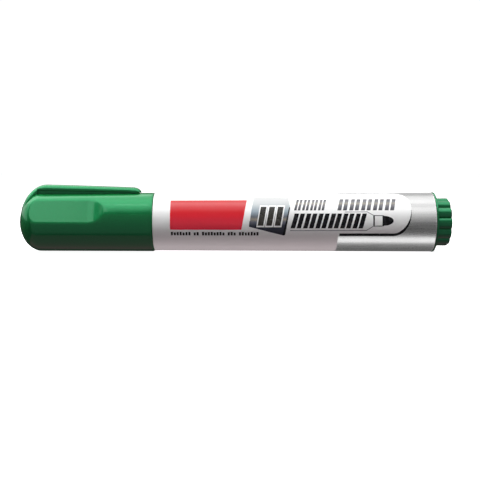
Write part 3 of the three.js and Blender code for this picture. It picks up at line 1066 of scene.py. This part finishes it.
make_floor()


def make_world():
    """White to the camera, and a dim even fill to the object."""
    world = bpy.data.worlds.new("studio")
    bpy.context.scene.world = world
    world.use_nodes = True
    nodes, links = world.node_tree.nodes, world.node_tree.links
    nodes.clear()
    output = nodes.new("ShaderNodeOutputWorld")
    seen = nodes.new("ShaderNodeBackground")
    fill = nodes.new("ShaderNodeBackground")
    mix = nodes.new("ShaderNodeMixShader")
    path = nodes.new("ShaderNodeLightPath")
    seen.inputs["Color"].default_value = (1.0, 1.0, 1.0, 1)
    seen.inputs["Strength"].default_value = 1.05
    fill.inputs["Color"].default_value = (1, 1, 1, 1)
    fill.inputs["Strength"].default_value = 0.04
    links.new(path.outputs["Is Camera Ray"], mix.inputs[0])
    links.new(fill.outputs[0], mix.inputs[1])
    links.new(seen.outputs[0], mix.inputs[2])
    links.new(mix.outputs[0], output.inputs[0])


make_world()


def area_light(name, wide, high, radiance, seen, only, colour):
    """A rectangle of light, which faces -Z until it is turned."""
    light = bpy.data.lights.new(name, "AREA")
    light.shape = "RECTANGLE"
    light.size, light.size_y = wide * MM, high * MM
    light.energy = radiance * light.size * light.size_y * math.pi
    light.color = colour
    obj = bpy.data.objects.new(name, light)
    bpy.context.scene.collection.objects.link(obj)
    obj.visible_camera = False
    obj.visible_glossy = seen != "diffuse"
    obj.visible_diffuse = seen != "gloss"
    if only:
        obj.light_linking.receiver_collection = only
    return obj


LIGHT_DISTANCE = 600.0  # from the marker's axis
LIGHT_HALF = 700.0  # half the length of a full strip
WHITE = (1.0, 1.0, 1.0)


def softbox(name, low, high, radiance, seen, only=None, left=-LIGHT_HALF, right=LIGHT_HALF, colour=WHITE):
    """A strip of light along the marker, from one elevation round it to another: 0 in front, 90 above."""
    middle = math.radians((low + high) / 2)
    reach = 2 * LIGHT_DISTANCE * math.tan(math.radians((high - low) / 2))
    obj = area_light(name, right - left, reach, radiance, seen, only, colour)
    away = Vector((0, -math.cos(middle), math.sin(middle)))
    obj.location = Vector(((left + right) / 2 * MM, 0, AXIS_Z)) + away * LIGHT_DISTANCE * MM
    obj.rotation_euler = (math.radians(90) - middle, 0, 0)


# Soft strips of light, each as (low, high, radiance)
OVERHEAD = ((77, 100, 1.0), (100, 125, 0.75), (125, 150, 0.6))
KEY = ((62, 77, 0.95), (54, 62, 0.65), (47, 54, 0.42), (41, 47, 0.12))
LOW_ON_GREEN = ((-42, 35, 0.13),)
ON_FOIL = (
    (77, 125, 0.5), (125, 150, 0.3), (150, 178, 0.75), (62, 77, 0.5), (55, 62, 0.75), (41, 55, 1.0),
    (33, 41, 0.9), (20, 33, 0.58), (5, 20, 0.36), (-15, 5, 0.11), (-42, -15, 0.07), (-84, -57, 1.15),
    (-112, -42, 0.2), (-160, -112, 0.12),
)
BELOW_TINT = (1.0, 0.86, 0.89)
BELOW_ON_GREEN = (1.0, 0.25, 0.45)


def strips(name, table, only=None, left=-LIGHT_HALF):
    """A strip seen only in reflections for each row of a table."""
    for number, (low, high, radiance) in enumerate(table):
        softbox(f"{name}_{number}", low, high, radiance, "gloss", only, left)


def make_lights():
    """Strips along the marker, and two cards on the left for the cap's dome."""
    softbox("top_light", 75, 125, 3.3, "diffuse")
    softbox("pale_front", 55, 80, 5.0, "diffuse", pale_pieces)
    softbox("pale_below", -130, -60, 1.2, "diffuse", pale_pieces, colour=BELOW_TINT)
    softbox("green_front", 0, 30, 0.15, "diffuse", green_pieces)
    strips("overhead", OVERHEAD)
    strips("key", KEY, left=-150)
    softbox("key_left", 45, 77, 1.15, "gloss", left=-330, right=-150)
    strips("low_on_green", LOW_ON_GREEN, green_pieces)
    softbox("below_on_green", -130, -50, 0.19, "gloss", green_pieces, colour=BELOW_ON_GREEN)
    strips("on_foil", ON_FOIL, foil_pieces)
    softbox("lamp_left", 73.5, 75.5, 3.5, "gloss", left=-130, right=-84)
    softbox("lamp_middle", 73.5, 75.5, 3.5, "gloss", left=-5, right=4)
    card = area_light("left_card", 500, 400, 1.1, "diffuse", green_pieces, WHITE)
    card.location = (-0.60, 0, AXIS_Z + 0.26)
    card.rotation_euler = (0, math.radians(-64), 0)
    shine = area_light("left_shine", 1200, 800, 0.6, "gloss", green_pieces, WHITE)
    away = Vector((-0.51, 0.22, 0.40))
    shine.location = away + Vector((0, 0, AXIS_Z))
    shine.rotation_euler = away.to_track_quat("Z", "Y").to_euler()


make_lights()


def make_camera():
    """A camera in front of the marker, which looks down on it a little."""
    rise = math.radians(CAMERA_RISE)
    look = Vector((0, math.cos(rise), -math.sin(rise)))
    up = Vector((0, math.sin(rise), math.cos(rise)))
    aim = Vector((AIM_X * MM, 0, AXIS_Z)) - up * AIM_BELOW * MM
    camera = bpy.data.objects.new("camera", bpy.data.cameras.new("camera"))
    bpy.context.scene.collection.objects.link(camera)
    camera.location = aim - look * CAMERA_DISTANCE * MM
    camera.rotation_euler = look.to_track_quat("-Z", "Y").to_euler()
    camera.data.lens = CAMERA_LENS
    camera.data.sensor_width = 36
    camera.data.clip_start = 0.01
    camera.data.clip_end = 20
    bpy.context.scene.camera = camera


make_camera()
bpy.context.scene.view_settings.view_transform = "Standard"
